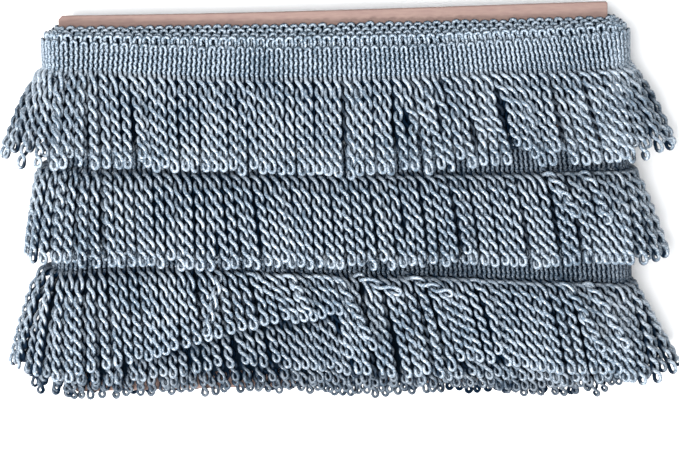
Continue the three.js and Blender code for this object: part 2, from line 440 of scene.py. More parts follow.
@dataclass
class Guides:
    """Centre lines of cords, with what the twisting tree reads at each of their points.

    That is the place in millimetres, the way sideways, the way outwards, the cord's angle about the
    line from side towards out, its distance from the line, its thickness as a share of the usual, and
    its painted shade, which darkens its colour where shade falls, as a share of full light.
    """

    cords: list[tuple[Array, ...]] = field(default_factory=list)

    def add(self, *rows: Array) -> None:
        """Adds one cord."""
        self.cords.append(rows)

    def mesh(self, name: str, middle: Vector) -> bpy.types.Mesh:
        """Makes a mesh of edges with the named attributes.

        Args:
            name: the mesh's name.
            middle: the middle of the card, in metres.

        Returns:
            The mesh, in metres in the row frame.
        """
        made = bpy.data.meshes.new(name)
        counts = [len(cord[0]) for cord in self.cords]
        starts = np.cumsum([0, *counts[:-1]])
        edges = np.concatenate(
            [np.column_stack([np.arange(n - 1), np.arange(1, n)]) + a for a, n in zip(starts, counts)]
        )
        points, side, out, turn, reach, girth, painted_shade = (np.concatenate(rows) for rows in zip(*self.cords))
        made.vertices.add(len(points))
        where = points * MM + np.array(middle)
        made.vertices.foreach_set("co", where.astype(np.float32).ravel())
        made.edges.add(len(edges))
        made.edges.foreach_set("vertices", edges.astype(np.int32).ravel())
        read = {"side": side, "out": out, "turn": turn, "reach": reach * MM, "girth": girth, "painted_shade": painted_shade}
        for title, rows in read.items():
            kind, key = ("FLOAT_VECTOR", "vector") if rows.ndim > 1 else ("FLOAT", "value")
            attribute = made.attributes.new(title, kind, "POINT")
            attribute.data.foreach_set(key, rows.astype(np.float32).ravel())
        made.update()
        return made


class Wiring:
    """Adds nodes to a tree and links them in order."""

    def __init__(self, tree: bpy.types.NodeTree) -> None:
        """Starts on a tree."""
        self.tree = tree

    def face(self, inputs: tuple, results: tuple) -> bpy.types.NodeOutputs:
        """Gives the tree its named inputs and results.

        Args:
            inputs: rows of a name, a kind of socket and a value.
            results: rows of a name and a kind of socket.

        Returns:
            The sockets that the inputs come in by.
        """
        faces = self.tree.interface
        for name, kind, value in inputs:
            made = faces.new_socket(name, in_out="INPUT", socket_type=f"NodeSocket{kind}")
            if value is not None:
                made.default_value = value
        for name, kind in results:
            faces.new_socket(name, in_out="OUTPUT", socket_type=f"NodeSocket{kind}")
        return self.tree.nodes.new("NodeGroupInput").outputs

    def feed(self, node: bpy.types.Node, inputs: dict) -> None:
        """Fills a node's sockets.

        Args:
            node: the node.
            inputs: what goes into its sockets, by name or number: a socket or a value.
        """
        for key, value in inputs.items():
            socket = node.inputs[key]
            if isinstance(value, Socket):
                self.tree.links.new(value, socket)
            else:
                socket.default_value = (*value, 1) if socket.type == "RGBA" else value

    def close(self, *values: Socket) -> None:
        """Links the tree's results."""
        self.feed(self.tree.nodes.new("NodeGroupOutput"), dict(enumerate(values)))

    def node(self, kind: str, inputs: dict | None = None, **settings: object) -> bpy.types.Node:
        """Adds a node.

        Args:
            kind: the node's type.
            inputs: what goes into its sockets.
            settings: the node's own settings.

        Returns:
            The node.
        """
        made = self.tree.nodes.new(kind)
        for name, value in settings.items():
            setattr(made, name, value)
        self.feed(made, inputs or {})
        return made

    def first(self, kind: str, inputs: dict | None = None, **settings: object) -> Socket:
        """Adds a node and gives its first result."""
        return self.node(kind, inputs, **settings).outputs[0]

    def math(self, operation: str, *values: Socket | float) -> Socket:
        """Adds a Math node and gives its result."""
        return self.first("ShaderNodeMath", dict(enumerate(values)), operation=operation)

    def plus(self, *values: Socket | float) -> Socket:
        """Adds two values."""
        return self.math("ADD", *values)

    def times(self, *values: Socket | float) -> Socket:
        """Multiplies two values."""
        return self.math("MULTIPLY", *values)

    def vector(self, operation: str, inputs: dict, result: int | str = 0) -> Socket:
        """Adds a Vector Math node and gives one of its results."""
        return self.node("ShaderNodeVectorMath", inputs, operation=operation).outputs[result]

    def named(self, name: str, kind: str = "FLOAT") -> Socket:
        """Reads a named attribute."""
        return self.first("GeometryNodeInputNamedAttribute", {"Name": name}, data_type=kind)

    def store(
        self, geometry: Socket, name: str, value: Socket, kind: str = "FLOAT", domain: str = "POINT"
    ) -> Socket:
        """Stores a named attribute and gives the geometry that has it."""
        inputs = {"Geometry": geometry, "Name": name, "Value": value}
        return self.first("GeometryNodeStoreNamedAttribute", inputs, data_type=kind, domain=domain)

    def noise(self, place: Socket, scale: float, detail: float) -> Socket:
        """Adds a noise texture and gives its value."""
        return self.first("ShaderNodeTexNoise", {"Vector": place, "Scale": scale, "Detail": detail})

    def ramp(self, value: Socket, places: Pair, colours: tuple[Colour, Colour]) -> Socket:
        """Adds a ramp between two colours.

        Args:
            value: where on the ramp.
            places: the places of its colours.
            colours: its colours.

        Returns:
            The colour.
        """
        made = self.node("ShaderNodeValToRGB", {"Fac": value})
        for stop, place, colour in zip(made.color_ramp.elements, places, colours):
            stop.position = place
            stop.color = (*colour, 1)
        return made.outputs[0]

    def mix(self, share: Socket, low: Socket | Colour, high: Socket | Colour) -> Socket:
        """Adds a mix of two colours, which goes from the first to the second with the share."""
        inputs = {"Factor": share, MIX_INPUTS[0]: low, MIX_INPUTS[1]: high}
        return self.node("ShaderNodeMix", inputs, data_type="RGBA").outputs[MIX_OUTPUT]


def surface(name: str) -> tuple[Material, Wiring, bpy.types.Node]:
    """Starts a material.

    Args:
        name: its name.

    Returns:
        The material, the wiring of its tree and its shader.
    """
    made = bpy.data.materials.new(name)
    made.use_nodes = True
    return made, Wiring(made.node_tree), made.node_tree.nodes["Principled BSDF"]


@dataclass(frozen=True)
class PlyTree:
    """The geometry tree that turns guide lines into plies twisted about them."""

    title: str = "Twisted plies"
    seam: float = 0.25
    # Painted shade: shares of the twist's half width between which the colour lightens from the core
    # outwards.
    core: Pair = (0.18, 0.5)
    grain: float = 260.0

    def build(self) -> bpy.types.GeometryNodeTree:
        """Builds the tree.

        Returns:
            The tree, with its sizes as named inputs.
        """
        tree = bpy.data.node_groups.new(self.title, "GeometryNodeTree")
        wire = Wiring(tree)
        inputs = (
            ("Guides", "Geometry", None), ("Ply Radius", "Float", 0.0012), ("Sides", "Int", 6),
            ("Unevenness", "Float", 0.0001), ("Painted Core Shade", "Float", 0.1), ("Painted Flank From", "Float", 0.0),
            ("Painted Flank To", "Float", 0.4), ("Seed", "Float", 1.0), ("Finish", "Material", None),
        )
        given = wire.face(inputs, (("Plies", "Geometry"),))
        curve = wire.first("GeometryNodeMeshToCurve", {"Mesh": given["Guides"]})
        place = wire.first("GeometryNodeInputPosition")
        based = wire.store(curve, "axis", place, "FLOAT_VECTOR")
        moved = {"Geometry": based, "Offset": self._offset(wire, given)}
        placed = wire.first("GeometryNodeSetPosition", moved)
        girths = {"Curve": placed, "Radius": wire.named("girth")}
        sized = wire.first("GeometryNodeSetCurveRadius", girths)
        spline = wire.node("GeometryNodeSplineParameter").outputs
        marked = wire.store(sized, "along", spline["Length"])
        circle = {"Resolution": given["Sides"], "Radius": given["Ply Radius"]}
        ring = wire.first("GeometryNodeCurvePrimitiveCircle", circle, mode="RADIUS")
        profile = wire.store(ring, "around", spline["Factor"])
        swept = {"Curve": marked, "Profile Curve": profile, "Fill Caps": True}
        tube = wire.first("GeometryNodeCurveToMesh", swept)
        mapped = wire.store(tube, "UVMap", self._uv(wire), "FLOAT2", "CORNER")
        toned = wire.store(mapped, "painted_shade", self._painted_shade(wire, given))
        soft = wire.first("GeometryNodeSetShadeSmooth", {"Geometry": toned})
        real = wire.first("GeometryNodeRealizeInstances", {"Geometry": soft})
        dressed = {"Geometry": real, "Material": given["Finish"]}
        wire.close(wire.first("GeometryNodeSetMaterial", dressed))
        return tree

    def _offset(self, wire: Wiring, given: bpy.types.NodeOutputs) -> Socket:
        """Works out how far a ply lies from its guide line.

        Args:
            wire: the tree's wiring.
            given: the tree's inputs.

        Returns:
            The offset.
        """
        turn, reach = wire.named("turn"), wire.named("reach")
        shares = [wire.times(wire.math(part, turn), reach) for part in ("COSINE", "SINE")]
        ways = [wire.named(name, "FLOAT_VECTOR") for name in ("side", "out")]
        parts = [wire.vector("SCALE", {0: way, "Scale": s}) for way, s in zip(ways, shares)]
        noise = {"Scale": self.grain, "Detail": 1.0, "W": given["Seed"]}
        rough = wire.node("ShaderNodeTexNoise", noise, noise_dimensions="4D").outputs["Color"]
        centred = wire.vector("SUBTRACT", {0: rough, 1: (0.5, 0.5, 0.5)})
        uneven = wire.vector("SCALE", {0: centred, "Scale": given["Unevenness"]})
        return wire.vector("ADD", {0: wire.vector("ADD", dict(enumerate(parts))), 1: uneven})

    def _painted_shade(self, wire: Wiring, given: bpy.types.NodeOutputs) -> Socket:
        """Works out the painted shade, which darkens the colour towards the twist's core and down its flanks.

        Args:
            wire: the tree's wiring.
            given: the tree's inputs.

        Returns:
            The painted shade.
        """
        place = wire.first("GeometryNodeInputPosition")
        away = wire.vector("SUBTRACT", {0: place, 1: wire.named("axis", "FLOAT_VECTOR")})
        girth = wire.times(wire.named("girth"), given["Ply Radius"])
        whole = wire.plus(wire.math("ABSOLUTE", wire.named("reach")), girth)
        far = wire.vector("LENGTH", {0: away}, "Value")
        proud = wire.vector("DOT_PRODUCT", {0: away, 1: wire.named("out", "FLOAT_VECTOR")}, "Value")
        rows = (
            (wire.math("DIVIDE", far, whole), *self.core),
            (wire.math("DIVIDE", proud, whole), given["Painted Flank From"], given["Painted Flank To"]),
        )
        names = ("Value", "From Min", "From Max")
        eased = [
            wire.first("ShaderNodeMapRange", dict(zip(names, row)), interpolation_type="SMOOTHSTEP")
            for row in rows
        ]
        deep = given["Painted Core Shade"]
        gain = wire.times(wire.times(*eased), wire.math("SUBTRACT", 1.0, deep))
        return wire.times(wire.named("painted_shade"), wire.plus(deep, gain))

    def _uv(self, wire: Wiring) -> Socket:
        """Works out a map of length and way round, without a torn seam.

        Args:
            wire: the tree's wiring.

        Returns:
            The map.
        """
        around = wire.named("around")
        mean = wire.first("GeometryNodeFieldOnDomain", {"Value": around}, data_type="FLOAT", domain="FACE")
        behind = wire.math("SUBTRACT", mean, around)
        closed = wire.plus(around, wire.math("GREATER_THAN", behind, self.seam))
        return wire.first("ShaderNodeCombineXYZ", {0: wire.named("along"), 1: closed})


@dataclass(frozen=True)
class Filaments:
    """The shader group for fine lustrous filaments that run along a ply."""

    title: str = "Filaments"
    cloud: float = 45.0
    cloud_share: float = 0.6
    dot: float = 1050.0
    level: float = 0.3
    roughness: float = 0.34

    def build(self) -> bpy.types.ShaderNodeTree:
        """Builds the group.

        Returns:
            The group, which puts out a height, a tone and a roughness.
        """
        tree = bpy.data.node_groups.new(self.title, "ShaderNodeTree")
        wire = Wiring(tree)
        values = {"Strands": 9.0, "Lay": 900.0, "Length": 160.0, "Spread": 0.2, "Speckle": 0.5}
        results = tuple((name, "Float") for name in ("Height", "Tone", "Roughness"))
        given = wire.face(tuple((name, "Float", value) for name, value in values.items()), results)
        uv = wire.first("ShaderNodeUVMap", uv_map="UVMap")
        along, around = wire.node("ShaderNodeSeparateXYZ", {0: uv}).outputs[:2]
        angle = wire.plus(wire.times(around, 2 * math.pi), wire.times(along, given["Lay"]))
        ring = [wire.times(wire.math(part, angle), given["Strands"]) for part in ("COSINE", "SINE")]
        far = wire.times(along, given["Length"])
        where = wire.first("ShaderNodeCombineXYZ", {0: ring[0], 1: ring[1], 2: far})
        fine = wire.noise(where, 1.0, 3.0)
        place = wire.node("ShaderNodeTexCoord").outputs["Object"]
        wide = wire.noise(place, self.cloud, 2.0)
        dots = wire.noise(place, self.dot, 1.0)
        speckle = wire.times(wire.math("SUBTRACT", dots, 0.5), given["Speckle"])
        height = wire.plus(fine, speckle)
        mixed = wire.plus(height, wire.times(wide, self.cloud_share))
        tone = wire.math("SUBTRACT", mixed, self.level)
        spread = wire.times(wire.math("SUBTRACT", tone, 0.5), given["Spread"])
        wire.close(height, tone, wire.plus(self.roughness, spread))
        return tree


@dataclass(frozen=True)
class Rayon:
    """The satin finish of the dyed rayon cord."""

    name: str
    dark: Colour
    light: Colour
    # The colour that painted shade darkens towards; the roughness of painted shade goes with it.
    deep: Colour = (0.0, 0.006, 0.017)
    tones: Pair = (0.4, 0.6)
    bump: float = 0.8
    relief: float = 0.0003
    gloss: float = 0.02
    lustre: float = 0.9
    strands: float = 1.7
    grain: float = 300.0
    speckle: float = 1.0
    deep_roughness: float = 0.95

    def build(self, filaments: bpy.types.ShaderNodeTree) -> Material:
        """Builds the material.

        Args:
            filaments: the group of filament lines.

        Returns:
            The material.
        """
        made, wire, shader = surface(self.name)
        lines = wire.node("ShaderNodeGroup", node_tree=filaments)
        wire.feed(lines, {"Strands": self.strands, "Length": self.grain, "Speckle": self.speckle})
        toned = wire.ramp(lines.outputs["Tone"], self.tones, (self.dark, self.light))
        height = {"Strength": self.bump, "Distance": self.relief, "Height": lines.outputs["Height"]}
        # Painted shade: the shade attribute mixes the deep colour into the base colour, roughens it and takes
        # its coat away.
        painted_shade = wire.node("ShaderNodeAttribute", attribute_name="painted_shade").outputs["Fac"]
        rough = {"Factor": painted_shade, "A": self.deep_roughness, "B": lines.outputs["Roughness"]}
        wire.feed(shader, {
            "Base Color": wire.mix(painted_shade, self.deep, toned),
            "Roughness": wire.first("ShaderNodeMix", rough, data_type="FLOAT"),
            "Normal": wire.first("ShaderNodeBump", height),
            "Specular IOR Level": self.gloss,
            "Coat Weight": wire.times(painted_shade, self.lustre),
            "Coat Roughness": 0.24,
            "Coat IOR": 1.6,
        })
        return made


RAYONS = (
    Rayon("blue_grey_cord", (0.11, 0.158, 0.21), (0.355, 0.41, 0.468)),
    Rayon("blue_grey_heading", (0.075, 0.12, 0.165), (0.335, 0.405, 0.48), grain=700.0, speckle=2.6),
    # Painted shadow: a near-black copy of the cord for the sheets that stand in for shade behind the cords
    # and the headings.
    Rayon("blue_grey_painted_shadow", (0.002, 0.006, 0.012), (0.004, 0.009, 0.016), lustre=0.0),
)


@dataclass(frozen=True)
class Board:
    """The finish of the card: pinkish tan board with fibres, scuffs and a paler cut edge."""

    name: str = "tan_board"
    face: Colour = (0.25, 0.172, 0.148)
    deep: Colour = (0.215, 0.142, 0.127)
    edge: Colour = (0.23, 0.165, 0.148)
    tones: Pair = (0.36, 0.62)
    fibres: Colour = (140.0, 900.0, 900.0)
    cloud: float = 38.0
    fibre_share: float = 0.65
    upright: float = 0.6

    def build(self) -> Material:
        """Builds the material.

        Returns:
            The material.
        """
        made, wire, shader = surface(self.name)
        place = wire.node("ShaderNodeTexCoord").outputs["Object"]
        drawn = wire.first("ShaderNodeMapping", {"Vector": place, "Scale": self.fibres})
        fibre = wire.times(wire.noise(drawn, 1.0, 5.0), self.fibre_share)
        both = wire.plus(fibre, wire.times(wire.noise(place, self.cloud, 4.0), 1 - self.fibre_share))
        normal = wire.node("ShaderNodeNewGeometry").outputs["Normal"]
        level = wire.node("ShaderNodeSeparateXYZ", {0: normal}).outputs[2]
        cut = wire.math("LESS_THAN", wire.math("ABSOLUTE", level), self.upright)
        toned = wire.ramp(both, self.tones, (self.deep, self.face))
        wire.feed(shader, {
            "Base Color": wire.mix(cut, toned, self.edge),
            "Normal": wire.first("ShaderNodeBump", {"Strength": 0.4, "Distance": 0.0002, "Height": both}),
            "Roughness": 0.88,
            "Specular IOR Level": 0.25,
        })
        return made


def link(name: str, data: bpy.types.ID) -> Piece:
    """Puts a mesh, a light or a camera in the scene.

    Args:
        name: the object's name.
        data: what it shows.

    Returns:
        The object.
    """
    made = bpy.data.objects.new(name, data)
    bpy.context.scene.collection.objects.link(made)
    return made


def band(name: str, rings: list[Array], middle: Vector, finish: Material) -> Piece:
    """Makes a closed band that goes round the card.

    Args:
        name: the piece's name.
        rings: closed lines of equal length round the card, in order round the band's section.
        middle: the middle of the card, in metres.
        finish: its material.

    Returns:
        The piece, with an even painted shade of full light for its material.
    """
    count = len(rings[0])
    mesh = bpy.data.meshes.new(name)
    where = np.concatenate(rings) * MM + np.array(middle)
    faces = []
    for ring in range(len(rings)):
        here, after = ring * count, (ring + 1) % len(rings) * count
        for i in range(count):
            j = (i + 1) % count
            faces.append((here + i, here + j, after + j, after + i))
    mesh.from_pydata(where.tolist(), [], faces)
    painted_shade = mesh.attributes.new("painted_shade", "FLOAT", "POINT")
    painted_shade.data.foreach_set("value", np.ones(len(where), dtype=np.float32))
    mesh.uv_layers.new(name="UVMap")
    mesh.materials.append(finish)
    mesh.shade_smooth()
    return link(name, mesh)


def settle(piece: Piece, replaced: tuple[str, ...] = ()) -> None:
    """Gives a finished piece to the frame.

    Args:
        piece: the piece, in place.
        replaced: the CAD nodes that it stands for.
    """
    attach(piece, "root")
    if replaced:
        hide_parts(*replaced)
    piece.data.calc_loop_triangles()
    LOG.info("%s: %d triangles", piece.name, len(piece.data.loop_triangles))


@dataclass(frozen=True)
class Yarn:
    """A ply's thickness, its unevenness, and how painted shade darkens it down its flanks and at its core."""

    radius: float
    # Painted shade: the levels between which a ply's flank lightens, and the share of light left at the core.
    painted_flank_shade: Pair
    painted_core_shade: float = 0.02
    unevenness: float = 0.14


@dataclass
class Spinner:
    """Makes pieces of cord from guides with the twisting tree."""

    tree: bpy.types.GeometryNodeTree
    middle: Vector
    scratch: tuple[str, ...] = ("side", "out", "turn", "reach", "girth", "along", "around", "axis")

    def spin(self, name: str, guides: Guides, finish: Material, yarn: Yarn, sides: int, seed: int) -> Piece:
        """Makes one piece.

        Args:
            name: the piece's name.
            guides: its cords' guide lines.
            finish: its material.
            yarn: the thickness and shading of its plies.
            sides: the sides of a ply's section.
            seed: the seed of its unevenness.

        Returns:
            The piece as a plain mesh.
        """
        source = link(f"{name}_guides", guides.mesh(f"{name}_guides", self.middle))
        modifier = source.modifiers.new("plies", "NODES")
        modifier.node_group = self.tree
        values = {
            "Ply Radius": yarn.radius * MM, "Sides": sides, "Unevenness": yarn.unevenness * MM,
            "Painted Core Shade": yarn.painted_core_shade, "Painted Flank From": yarn.painted_flank_shade[0], "Painted Flank To": yarn.painted_flank_shade[1],
            "Seed": float(seed), "Finish": finish,
        }
        for item in self.tree.interface.items_tree:
            if item.name in values:
                modifier[item.identifier] = values[item.name]
        bpy.context.view_layer.update()
        graph = bpy.context.evaluated_depsgraph_get()
        made = bpy.data.meshes.new_from_object(source.evaluated_get(graph))
        made.name = name
        for title in self.scratch:
            if title in made.attributes:
                made.attributes.remove(made.attributes[title])
        bpy.data.objects.remove(source)
        return link(name, made)


@dataclass
class Fringe:
    """The bullion of one tier: cords of two plies, each closed by a loop.

    Spreads are those of random draws. Levels, fades and ends are shares of a cord's length.
    """

    shape: TierShape
    winding: Winding
    yarn: Yarn
    twist_reach: float = 1.62
    twist_step: float = 7.4
    twist_rest: float = 0.2
    tightening: float = 0.12
    least_turns: int = 2
    leg_end: float = 0.08
    phase_end: float = 0.3
    facing_from: float = 0.55
    ring_length: float = 3.1
    least_gap: float = 4.8
    levels: int = 16
    depths: tuple[float, ...] = (0.0, 5.2, 9.4, 12.4, 14.4)
    end_depth: float = 0.8
    offsets: tuple[float, ...] = (0.0, 0.5, 0.27, 0.77, 0.1)
    under_shares: tuple[float, ...] = (0.0, 0.75, 1.0, 1.1, 1.2)
    stepped_layers: int = 3
    length_spread: float = 0.9
    length_reach: float = 4.0
    loose_spread: Pair = (1.3, 0.8)
    loose_reach: float = 2.5
    loose_power: float = 1.2
    bow_spread: float = 0.55
    lift_spread: float = 0.45
    lift_pace: float = 1.2
    turn_spread: float = 0.16
    phase_spread: float = 0.4
    back_power: float = 0.9
    back_looseness: float = 0.6
    stray_power: float = 1.1
    stray_levels: Pair = (0.1, 0.5)
    over_levels: Pair = (0.0, 0.3)
    # Painted shade: the share of light that the inner layers' cords keep under the outer layer.
    painted_deep_shade: float = 0.015
    open_slope: float = 0.6
    open_lift: float = 2.6
    open_levels: Pair = (0.15, 0.6)
    # Painted light: how much lighter the inner cords are painted where the outer layer opens over them.
    open_painted_light: float = 0.7
    open_edge: float = 9.0
    open_edge_share: float = 0.9
    fan_starts: Pair = (-5.0, -15.0)
    parting_reach: float = 14.0
    hole_reach: float = 7.0
    push: float = 0.45
    push_rounds: int = 30
    sink_levels: Pair = (0.05, 0.3)
    least_fall: float = 0.35
    trimmed_from: float = 0.9
    root_fade: Pair = (0.0, 0.22)
    hem_fade: Pair = (0.16, 0.04)
    lining_levels: tuple[int, ...] = (4, 8)
    lining_depths: tuple[float, ...] = (2.0, 2.2, 0.6)

    @property
    def half(self) -> float:
        """Half the thickness of a bullion."""
        return self.twist_reach + self.yarn.radius

    @property
    def shares(self) -> Array:
        """The levels of a cord, as shares of its length."""
        return np.linspace(0, 1, self.levels)

    def field(self, layer: int) -> Laid:
        """Works out the centre lines of a layer's cords.

        Args:
            layer: the layer, counted from the outermost.

        Returns:
            For each cord its place, angle and length, and for each level of each cord its point.
        """
        w = self.winding
        count = round(w.loop / w.cord_pitch)
        rng = np.random.default_rng(self.shape.seed * 10 + layer)
        s = (np.arange(count) + self.offsets[layer]) * w.loop / count
        x, angle = w.places(s)
        front = angle > 0
        share = self.shares
        length = w.drop - self.ring_length + rng.normal(0, self.length_spread, count)
        length = length + drift(rng, count, self.length_reach)
        length += self.shape.under.at(x) * self.under_shares[layer]
        if not layer:
            length += np.where(front, self.shape.hems.at(x), 0.0)
        elif layer < self.stepped_layers:
            length -= front * self.shape.steps.at(x) / layer**2
        lean = self._sweep(x, angle)
        opened = np.clip(-np.gradient(lean, w.loop / count) / self.open_slope, 0, 1) * front
        edge = smooth(np.abs(x), w.half_card - self.open_edge, w.half_card - 1.0)
        opened = np.maximum(opened, self.open_edge_share * edge)
        wander = self.loose_spread[0] * drift(rng, count, self.loose_reach)
        loose = np.outer(wander + rng.normal(0, self.loose_spread[1], count), share**self.loose_power)
        bowed = np.outer(rng.normal(0, self.bow_spread, count), np.sin(np.pi * share))
        fallen = share[None, :] * (length / w.drop)[:, None]
        swept = lean[:, None] * fallen ** np.where(front, self.shape.lean_power, self.back_power)[:, None]
        shift = swept + (loose + bowed) * np.where(front, 1.0, self.back_looseness)[:, None]
        arc = np.sin(np.pi * np.minimum(share * self.lift_pace, 1))
        lift = np.outer(rng.normal(0, self.lift_spread, count), arc)
        free = np.zeros(count, dtype=bool)
        if layer == 1:
            lift += np.outer(self.open_lift * opened, smooth(share, *self.open_levels))
        if not layer:
            shift += self._holes(x) * front[:, None]
            for stray in (row for row in self.shape.strays if not row.over):
                index = int(np.argmin(np.where(front, np.abs(x - stray.x), np.inf)))
                shift[index] += stray.shift * share**self.stray_power
                lift[index] += stray.lift * smooth(share, *self.stray_levels)
                length[index] += stray.drop
                free[index] = True
        laid = {"s": s, "x": x, "angle": angle, "length": length, "opened": opened}
        laid["shift"] = self._spread(s, shift, free)
        laid["radius"] = self._radius(layer, s, x, angle) + lift
        if not layer:
            extras = self._extras()
            laid = {name: np.concatenate([rows, extras[name]]) for name, rows in laid.items()}
        laid["points"] = self._points(layer, laid)
        return laid

    def _extras(self) -> Laid:
        """Lays out the cords that lie over the outermost layer.

        Returns:
            What the other cords have too, but for their points.
        """
        w, share = self.winding, self.shares
        rows = [(stray.x, stray.shift, stray.lift, stray.drop) for stray in self.shape.strays if stray.over]
        at, moved, lifts, drops = np.array(rows).reshape(-1, 4).T
        s = 2 * w.half_card + w.end_arc - at
        x, angle = w.places(s)
        length = w.drop - self.ring_length + self.shape.hems.at(x) + drops
        fallen = share[None, :] * (length / w.drop)[:, None]
        shift = self.shape.leans.at(x)[:, None] * fallen**self.shape.lean_power
        lift = lifts[:, None] * smooth(share, *self.over_levels)[None, :]
        return {
            "s": s, "x": x, "angle": angle, "length": length, "opened": 0 * s,
            "shift": shift + moved[:, None] * share[None, :] ** self.stray_power,
            "radius": self._radius(0, s, x, angle) + lift,
        }

    def _sweep(self, x: Array, angle: Array) -> Array:
        """Gives the sideways sweep of the cords' ends, to the right on the front.

        Args:
            x: the cords' distances from the card's middle.
            angle: their ways out from the card.

        Returns:
            The sweeps.
        """
        w, fan = self.winding, self.shape.fan
        front = angle > 0
        left = fan.left * (1 - smooth(x + w.half_card, self.fan_starts[0], fan.reach))
        right = fan.right * (1 - smooth(w.half_card - x, self.fan_starts[1], fan.reach))
        sweep = np.where(front, self.shape.leans.at(x), left + right)
        for parting in self.shape.partings:
            away = x - parting.x
            opened = np.sign(away) * parting.gap * np.exp(-np.abs(away) / self.parting_reach) / 2
            sweep = sweep + np.where(front, opened, 0.0)
        return sweep * np.sin(angle) ** 2 * np.where(front, 1.0, -1.0)

    def _holes(self, x: Array) -> Array:
        """Gives the sideways courses by which the cords part round the tier's holes.

        Args:
            x: the cords' distances from the card's middle.

        Returns:
            The courses.
        """
        shift = np.zeros((len(x), self.levels))
        for hole in self.shape.holes:
            away = x - hole.x
            near = np.sign(away) * np.exp(-np.abs(away) / self.hole_reach) * hole.gap / 2
            shift += np.outer(near, np.exp(-(((self.shares - hole.share) / hole.span) ** 2)))
        return shift

    def _spread(self, s: Array, shift: Array, free: Array) -> Array:
        """Pushes cords of a layer apart where they would lie in each other.

        Args:
            s: the cords' places round the card.
            shift: their sideways courses.
            free: the cords that lie over their neighbours and push none.

        Returns:
            The courses, set apart.
        """
        apart = (free | np.roll(free, 1))[:, None]
        for _ in range(self.push_rounds):
            at = -s[:, None] + shift
            gap = np.roll(at, 1, 0) - at
            gap[0] += self.winding.loop
            short = np.where(apart, 0.0, np.clip(self.least_gap - gap, 0.0, None))
            shift = shift - self.push * short + self.push * np.roll(short, -1, 0)
        return shift

    def _radius(self, layer: int, s: Array, x: Array, angle: Array) -> Array:
        """Gives the distance of each cord's levels from the card's middle plane.

        Args:
            layer: the layer, counted from the outermost.
            s: the cords' places round the card.
            x: their distances from the card's middle.
            angle: their ways out from the card.

        Returns:
            The distances.
        """
        w, tips, share = self.winding, self.shape.tips, self.shares
        sunk = w.inner_sink * (1 - smooth(share, *self.sink_levels)) if layer else 0.0
        root = w.heading_radius(layer, s)[:, None] - sunk
        depth = self.depths[layer]
        tip_front = tips.front - self.half - depth
        tip_end = np.where(x > 0, tips.right, tips.left)[:, None] - self.half - self.end_depth * depth
        settled = np.clip(share * w.drop / w.settled_fall, 0, 1)
        swell = np.where(x > 0, tips.right_swell, tips.left_swell)[:, None]
        front = root + (tip_front - root) * share ** (w.inner_rise_power if layer else w.rise_power)
        back = root + (w.floor_depth - self.half - depth - root) * settled
        end = root + (tip_end - root) * share[None, :] ** swell
        toward = np.cos(angle)[:, None] ** 2
        return np.where(angle[:, None] > 0, front, back) * (1 - toward) + end * toward

    def _points(self, layer: int, laid: Laid) -> Array:
        """Lays each cord at its length along its sideways and outward course.

        Args:
            layer: the layer, counted from the outermost.
            laid: the layer's cords.

        Returns:
            The point of each level of each cord.
        """
        w = self.winding
        x, angle, shift, radius = (laid[name] for name in ("x", "angle", "shift", "radius"))
        outer = self.shape.outer.height(x, angle, w.half_card) - self.shape.dip(x, angle)
        inner = self.shape.inner.height(x, angle, w.half_card)
        root = outer + (inner - outer) * self.shape.places[layer]
        step = (laid["length"] / (self.levels - 1))[:, None]
        moved = np.diff(shift, axis=1) ** 2
        down = step**2 - moved - np.diff(radius, axis=1) ** 2
        down = np.sqrt(np.clip(down, (self.least_fall * step) ** 2, None))
        fall = np.concatenate([np.zeros((len(x), 1)), np.cumsum(down, axis=1)], axis=1)
        cos, sin = np.cos(angle)[:, None], np.sin(angle)[:, None]
        across = x[:, None] + self.shape.slide + radius * cos + shift * sin
        depth = radius * sin - shift * cos
        depth = np.maximum(depth, self.half + self.yarn.unevenness - w.floor_depth)
        return np.stack([across, root[:, None] - fall, depth], axis=2)

    def guides(self, layer: int, place: Place, detail: Detail) -> Guides:
        """Makes the guides of a layer's cords on one side of the card.

        Args:
            layer: the layer, counted from the outermost.
            place: the side of the card.
            detail: how finely the cords are made.

        Returns:
            The guides.
        """
        laid = self.field(layer)
        rng = np.random.default_rng(self.shape.seed * 100 + layer)
        made = Guides()
        turns = rng.normal(0, self.turn_spread, len(laid["s"]))
        phases = rng.normal(0, self.phase_spread, len(laid["s"]))
        hems = self.winding.drop + self.shape.hems.at(laid["x"])
        for index, angle in enumerate(laid["angle"]):
            if (angle > FRONT_FROM) != (place is Place.FRONT):
                continue
            start = detail.front_from if angle > self.trimmed_from else 0.0
            if place is Place.BACK:
                start = detail.back_from
            # Painted shade: cords start dark at the root and lighten towards the tip, for the shade of the
            # tier above and of the outer layers.
            fading = (self.shape.painted_root_shade, *self.root_fade)
            if layer > 1 or (layer and place is Place.BACK):
                fading = (self.painted_deep_shade, *self.shape.shown)
            elif layer:
                deep = self.painted_deep_shade + self.open_painted_light * laid["opened"][index]
                fading = (deep, *(hems[index] / laid["length"][index] - part for part in self.hem_fade))
            made.add(*self._cord(laid, index, detail, start, (turns[index], phases[index]), fading))
        return made

